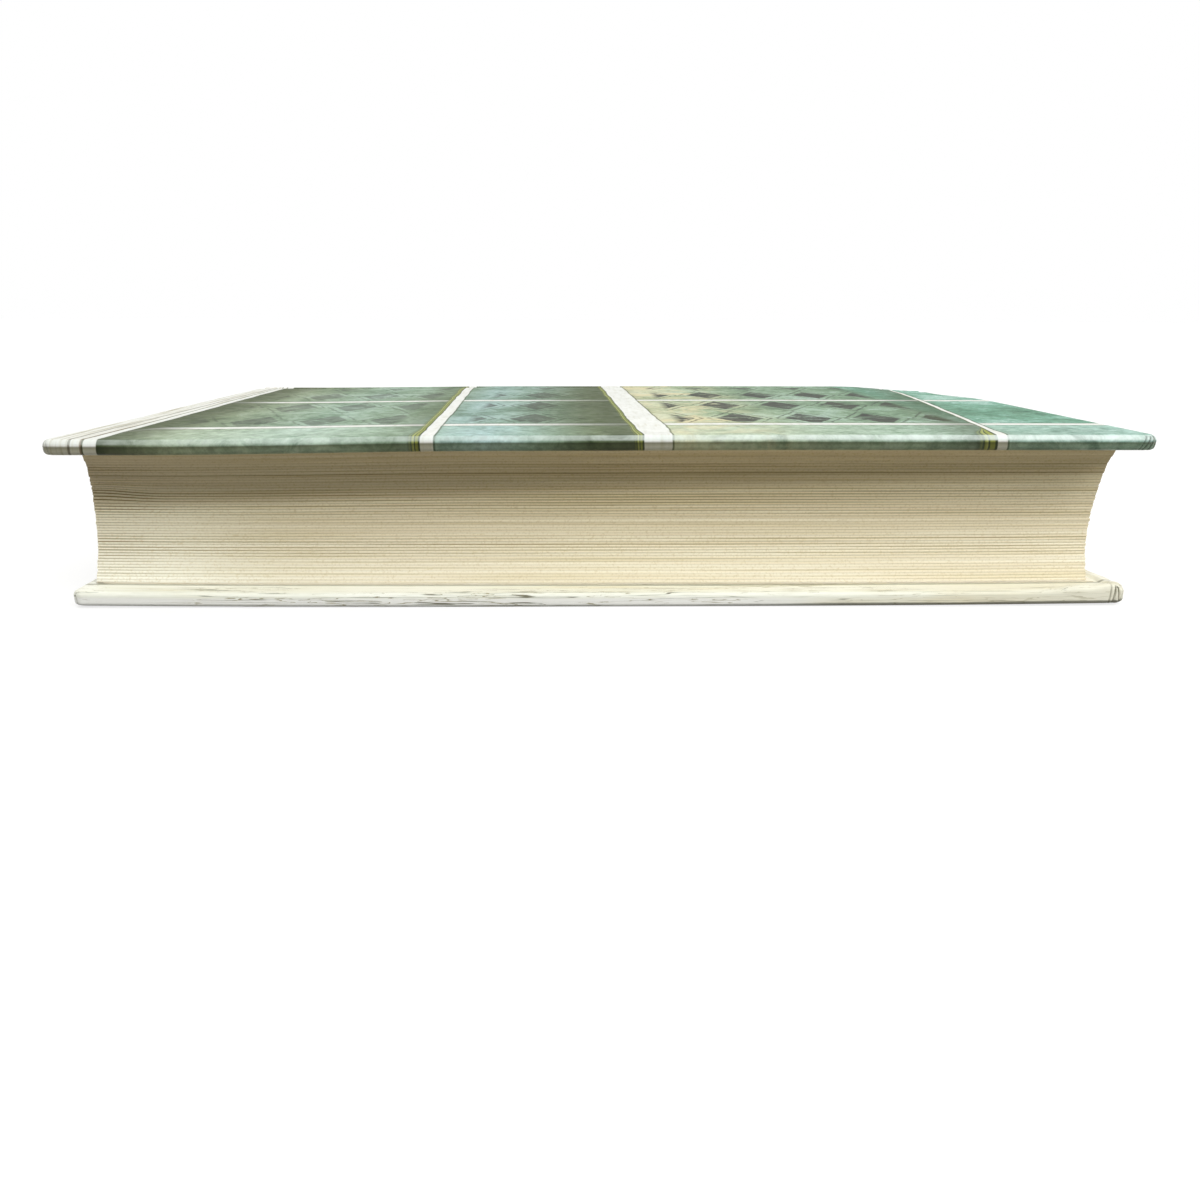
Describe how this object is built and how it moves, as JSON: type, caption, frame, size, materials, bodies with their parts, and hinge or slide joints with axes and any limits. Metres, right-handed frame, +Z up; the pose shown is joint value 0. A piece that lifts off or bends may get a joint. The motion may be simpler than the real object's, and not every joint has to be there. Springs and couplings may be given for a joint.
{
  "type": "hardcover book",
  "caption": "Hardcover book with a rounded back, greyboard covers hinged at grooves beside the spine, printed sheet, endpapers and head bands.",
  "frame": {"origin": "under the middle of the closed book, on the surface that it lies on", "axes": "+X from the tail of the book to its head, -Y towards the fore-edge, +Y towards the spine, +Z up through the front cover"},
  "size_m": [0.2242, 0.1542, 0.0368],
  "materials": {
    "leaves": "rough cut paper edges",
    "endpaper": "matte",
    "mull": "open weave",
    "kraft_liner": "matte",
    "band_cloth": "woven",
    "greyboard": "matte",
    "printed_sheet": "satin laminate",
    "printed_sheet_back": "satin laminate"
  },
  "bodies": {
    "block": {"text_block": "leaves", "front_flyleaf": "endpaper", "back_flyleaf": "endpaper", "spine_cloth": "mull", "spine_liner": "kraft_liner", "head_band": "band_cloth", "tail_band": "band_cloth", "spine_board": "greyboard", "spine_sheet": "printed_sheet"},
    "front_cover": {"front_board": "greyboard", "front_cover_sheet": "printed_sheet", "front_pastedown": "endpaper", "front_cloth_flange": "mull"},
    "back_cover": {"back_board": "greyboard", "back_cover_sheet": "printed_sheet_back", "back_pastedown": "endpaper", "back_cloth_flange": "mull"}
  },
  "joints": [
    {"name": "front_cover_hinge", "type": "hinge", "parent": "block", "child": "front_cover", "pos_m": [0, 0.0667, 0.03338], "axis": [-1, 0, 0], "range_deg": [0, 180]},
    {"name": "back_cover_hinge", "type": "hinge", "parent": "block", "child": "back_cover", "pos_m": [0, 0.0697, 0.00338], "axis": [1, 0, 0], "range_deg": [0, 180]}
  ]
}
